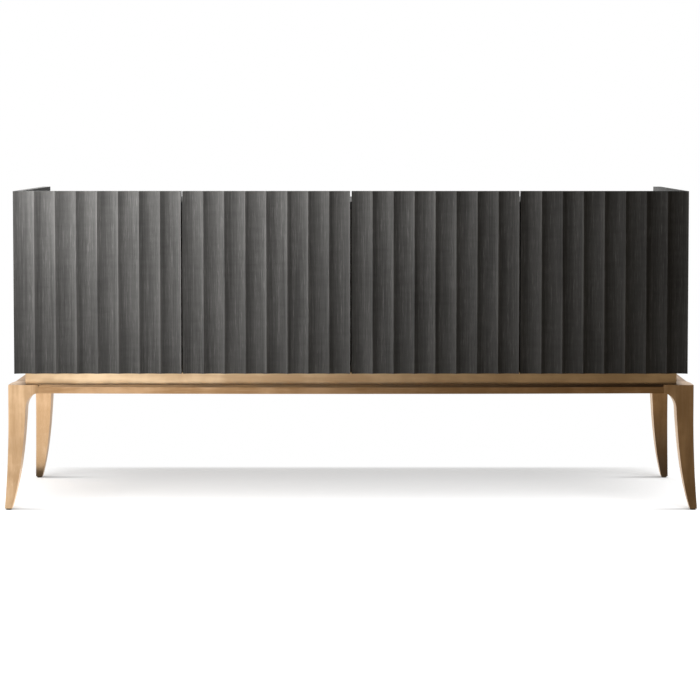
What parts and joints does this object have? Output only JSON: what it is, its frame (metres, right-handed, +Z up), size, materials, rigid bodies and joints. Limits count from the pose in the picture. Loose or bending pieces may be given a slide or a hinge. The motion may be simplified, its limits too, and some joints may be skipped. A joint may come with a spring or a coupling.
{
  "type": "sideboard buffet",
  "caption": "Low wide fluted-front sideboard with hinged doors, shelves behind them and a recessed top, on a brass base with splayed tapering legs.",
  "frame": {"origin": "on the floor, at the centre of the footprint", "axes": "+X towards the right-hand side seen from the front, the doors face -Y, +Z up"},
  "size_m": [1.93, 0.53, 0.889],
  "materials": {
    "fluted_oak": "open-grained oak, charcoal stain, satin lacquer",
    "case_oak": "oak veneer, charcoal stain, satin lacquer",
    "interior_oak": "smoked oak veneer, matt lacquer",
    "base_brass": "satin brushed, lightly aged",
    "black_steel": "black powder coat",
    "hinge_brass": "brushed",
    "zinc_steel": "zinc plated",
    "beech": "plain turned beech",
    "black_plastic": "moulded",
    "glide_nylon": "moulded nylon",
    "bumper_rubber": "soft, matt"
  },
  "bodies": {
    "carcass": {"side_panel_left": "case_oak", "side_panel_right": "case_oak", "top_panel": "case_oak", "bottom_panel": "interior_oak", "partition_left": "interior_oak", "partition_right": "interior_oak", "back_panel": "interior_oak", "shelf_left": "interior_oak", "shelf_centre": "interior_oak", "shelf_right": "interior_oak", "shelf_pins": "zinc_steel", "case_dowels": "beech", "hinge_arms_sides": "hinge_brass", "hinge_arms_partitions": "hinge_brass", "hinge_arm_screws": "hinge_brass", "catch_housings": "black_plastic", "catch_magnets": "zinc_steel", "door_bumpers": "bumper_rubber", "leg_front_left": "base_brass", "leg_front_right": "base_brass", "leg_back_left": "base_brass", "leg_back_right": "base_brass", "foot_glides": "glide_nylon", "rail_front": "base_brass", "rail_back": "base_brass", "rail_left": "base_brass", "rail_right": "base_brass", "plinth_front": "base_brass", "plinth_back": "base_brass", "plinth_left": "base_brass", "plinth_right": "base_brass", "plinth_screws": "zinc_steel", "bearer_left": "black_steel", "bearer_centre": "black_steel", "bearer_right": "black_steel", "case_screws": "zinc_steel", "corner_braces": "black_steel", "leg_bolts": "zinc_steel", "brace_screws": "zinc_steel"},
    "left_door": {"door_left": "fluted_oak", "door_left_hinge_leaves": "hinge_brass", "door_left_hinge_pins": "zinc_steel", "door_left_screws": "hinge_brass", "door_left_strike_plate": "zinc_steel"},
    "centre_left_door": {"door_centre_left": "fluted_oak", "door_centre_left_hinge_leaves": "hinge_brass", "door_centre_left_hinge_pins": "zinc_steel", "door_centre_left_screws": "hinge_brass", "door_centre_left_strike_plate": "zinc_steel"},
    "centre_right_door": {"door_centre_right": "fluted_oak", "door_centre_right_hinge_leaves": "hinge_brass", "door_centre_right_hinge_pins": "zinc_steel", "door_centre_right_screws": "hinge_brass", "door_centre_right_strike_plate": "zinc_steel"},
    "right_door": {"door_right": "fluted_oak", "door_right_hinge_leaves": "hinge_brass", "door_right_hinge_pins": "zinc_steel", "door_right_screws": "hinge_brass", "door_right_strike_plate": "zinc_steel"}
  },
  "joints": [
    {"name": "left_door_hinge", "type": "hinge", "parent": "carcass", "child": "left_door", "pos_m": [-0.92496, -0.244, 0.62], "axis": [0, 0, -1], "range_deg": [0, 95]},
    {"name": "centre_left_door_hinge", "type": "hinge", "parent": "carcass", "child": "centre_left_door", "pos_m": [-0.45496, -0.244, 0.62], "axis": [0, 0, -1], "range_deg": [0, 95]},
    {"name": "centre_right_door_hinge", "type": "hinge", "parent": "carcass", "child": "centre_right_door", "pos_m": [0.45496, -0.244, 0.62], "axis": [0, 0, 1], "range_deg": [0, 95]},
    {"name": "right_door_hinge", "type": "hinge", "parent": "carcass", "child": "right_door", "pos_m": [0.92496, -0.244, 0.62], "axis": [0, 0, 1], "range_deg": [0, 95]}
  ]
}
